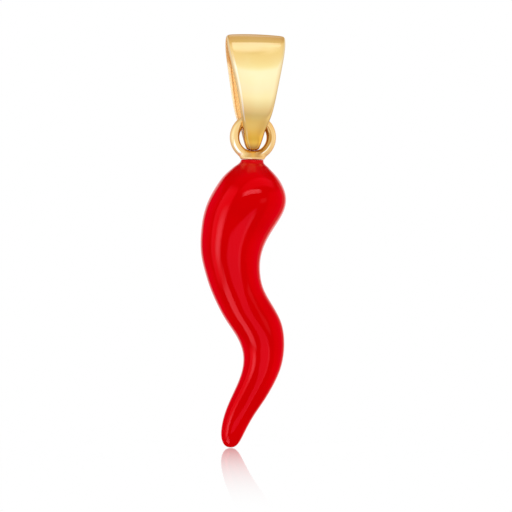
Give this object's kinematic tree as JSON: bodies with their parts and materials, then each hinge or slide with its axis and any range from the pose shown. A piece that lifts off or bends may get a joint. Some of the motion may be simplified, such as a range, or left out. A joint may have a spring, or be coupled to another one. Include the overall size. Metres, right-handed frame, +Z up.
{
  "type": "cornicello horn pendant",
  "caption": "Curved enamelled horn charm with a soldered round loop, hanging free in a tapered folded strap bail.",
  "frame": {"origin": "where the chain sits: the middle of the inside of the bail's fold", "axes": "+X along the chain's way through the bail, to the right in the picture; +Y to the back; +Z up, against the way it hangs"},
  "size_m": [0.0063, 0.0052, 0.03],
  "materials": {
    "bail_gold": "mirror-polished yellow gold with faint hairlines",
    "loop_gold": "polished yellow gold wire, softer at the solder",
    "red_enamel": "high-gloss translucent red enamel"
  },
  "bodies": {
    "bail": {"bail": "bail_gold"},
    "charm": {"horn_loop": "loop_gold", "horn": "red_enamel"}
  },
  "joints": [
    {"name": "horn_swing", "type": "hinge", "parent": "bail", "child": "charm", "pos_m": [0, 0, -0.00578], "axis": [1, 0, 0], "range_deg": [-45, 45]}
  ]
}
